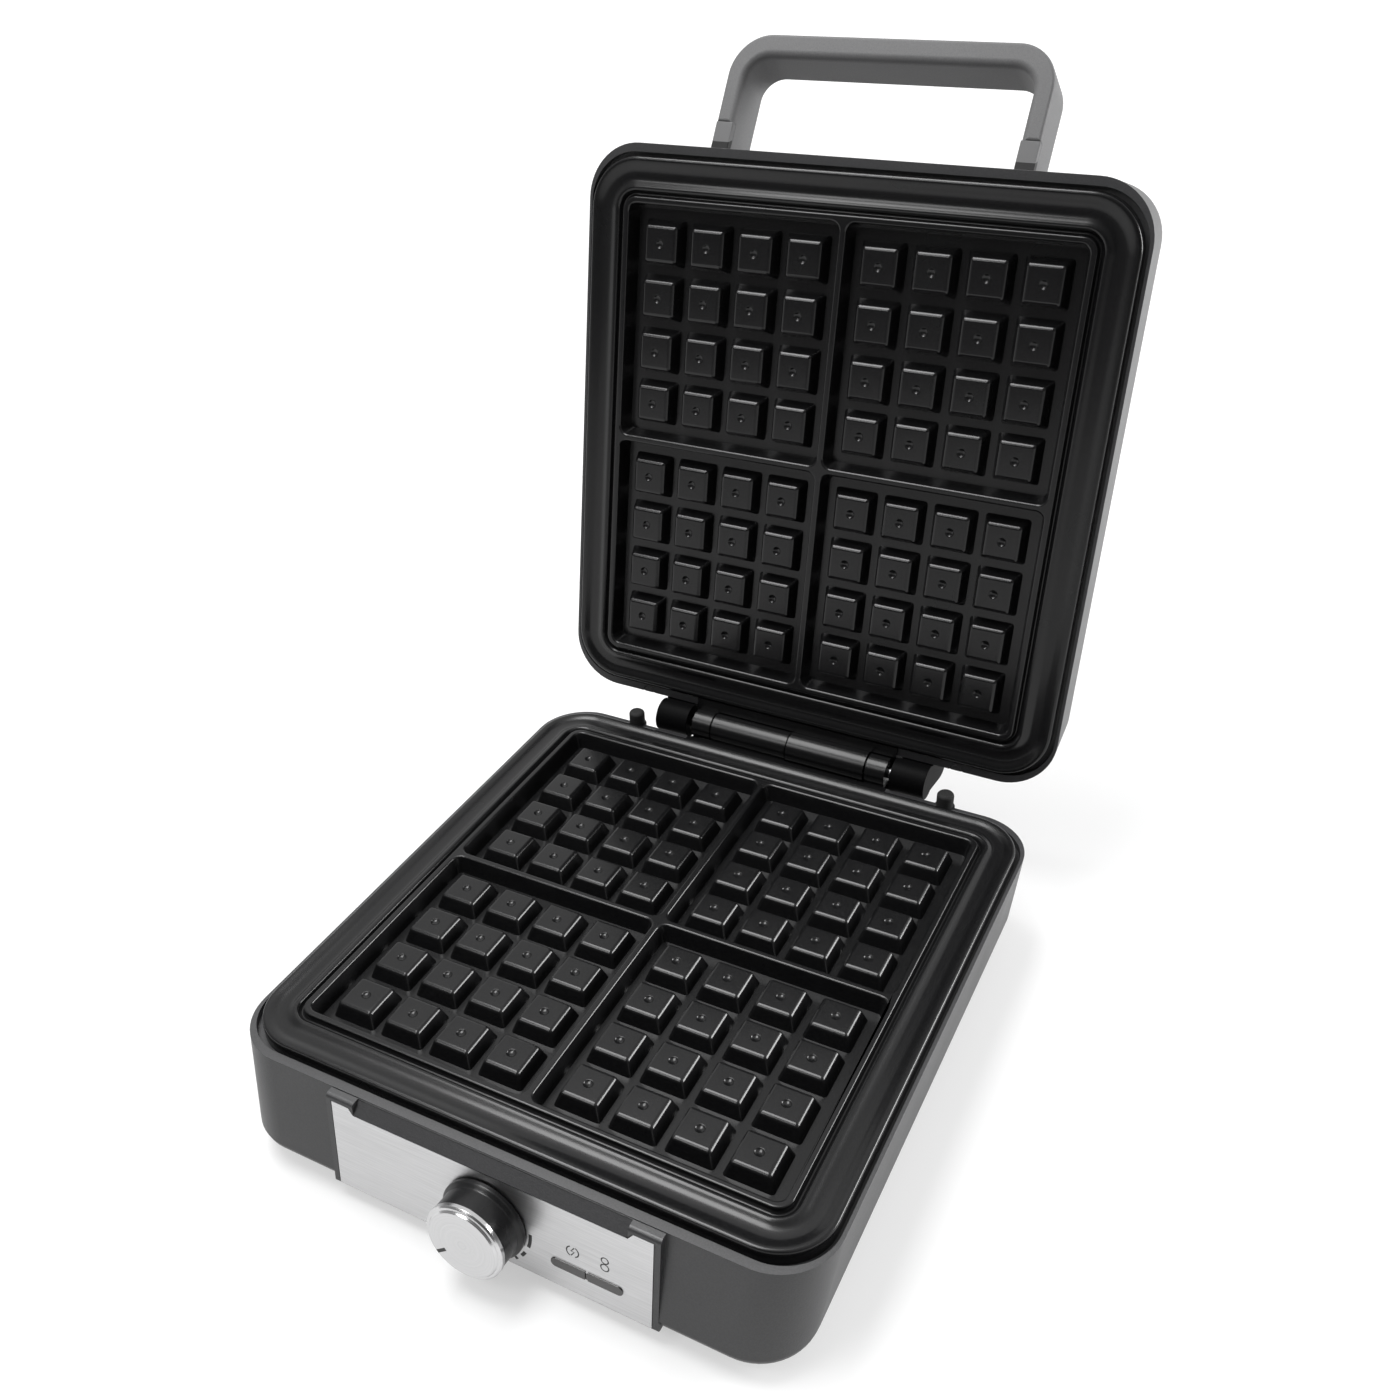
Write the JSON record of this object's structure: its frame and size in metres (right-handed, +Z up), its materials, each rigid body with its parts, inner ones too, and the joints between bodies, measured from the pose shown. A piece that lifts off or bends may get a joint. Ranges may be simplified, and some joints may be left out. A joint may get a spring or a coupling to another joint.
{
  "type": "square waffle maker",
  "caption": "Square hinged waffle iron, shown open: pegged lower and upper plates, sloping control panel with a knob and lamps, and a loop handle.",
  "frame": {"origin": "on the table, under the middle of the open object", "axes": "+Z up from the table, +X to the right along the front, +Y to the hinge at the back"},
  "size_m": [0.265, 0.431, 0.381],
  "materials": {
    "housing_black": "fine satin texture",
    "cover_black": "matte",
    "screw_steel": "zinc plated",
    "foot_rubber": "matte",
    "plate_coating": "cast, with a glossy black non-stick coating",
    "element_steel": "dark annealed tube",
    "reflector_sheet": "bright sheet",
    "panel_metal": "fine horizontal brushing",
    "lens_clear": "smoked clear",
    "holder_white": "natural white",
    "lamp_glass": "clear",
    "thermostat_metal": "plated",
    "bulb_copper": "copper",
    "fuse_sleeve": "white sleeve",
    "block_ceramic": "white",
    "bush_black": "matte",
    "hinge_black": "satin",
    "pin_steel": "ground",
    "knob_black": "satin gloss",
    "cap_chrome": "bright, turned face",
    "marker_black": "printed black",
    "handle_grey": "satin grey"
  },
  "bodies": {
    "base": {"base_housing": "housing_black", "bottom_cover": "cover_black", "rubber_feet": "foot_rubber", "lower_plate": "plate_coating", "lower_heating_element": "element_steel", "lower_element_clamps": "screw_steel", "lower_heat_reflector": "reflector_sheet", "lower_plate_screws": "screw_steel", "control_panel": "panel_metal", "power_lamp_lens": "lens_clear", "ready_lamp_lens": "lens_clear", "lamp_holder": "holder_white", "indicator_lamps": "lamp_glass", "thermostat_body": "thermostat_metal", "sensor_bulb": "bulb_copper", "thermal_fuse": "fuse_sleeve", "terminal_block": "block_ceramic", "cord_bush": "bush_black", "base_hinge_bracket": "hinge_black", "hinge_pin": "pin_steel", "rear_rest_buttons": "foot_rubber"},
    "control_knob": {"thermostat_shaft": "thermostat_metal", "knob_body": "knob_black", "knob_cap": "cap_chrome", "knob_marker": "marker_black"},
    "lid": {"lid_housing": "housing_black", "lid_cover": "cover_black", "upper_plate": "plate_coating", "upper_heating_element": "element_steel", "upper_element_clamps": "screw_steel", "upper_heat_reflector": "reflector_sheet", "upper_plate_screws": "screw_steel", "lid_hinge_bracket": "hinge_black", "hinge_arm_right": "hinge_black", "hinge_arm_left": "hinge_black", "handle_face": "handle_grey", "handle_back": "handle_grey", "handle_foot_inserts": "hinge_black"}
  },
  "joints": [
    {"name": "lid_hinge", "type": "hinge", "parent": "base", "child": "lid", "pos_m": [0, 0.095, 0.06], "axis": [1, 0, 0], "range_deg": [0, 100.6]},
    {"name": "knob_turn", "type": "hinge", "parent": "base", "child": "control_knob", "pos_m": [0, -0.19784, 0.0276], "axis": [0, 0.9925, -0.1219], "range_deg": [0, 258]}
  ]
}
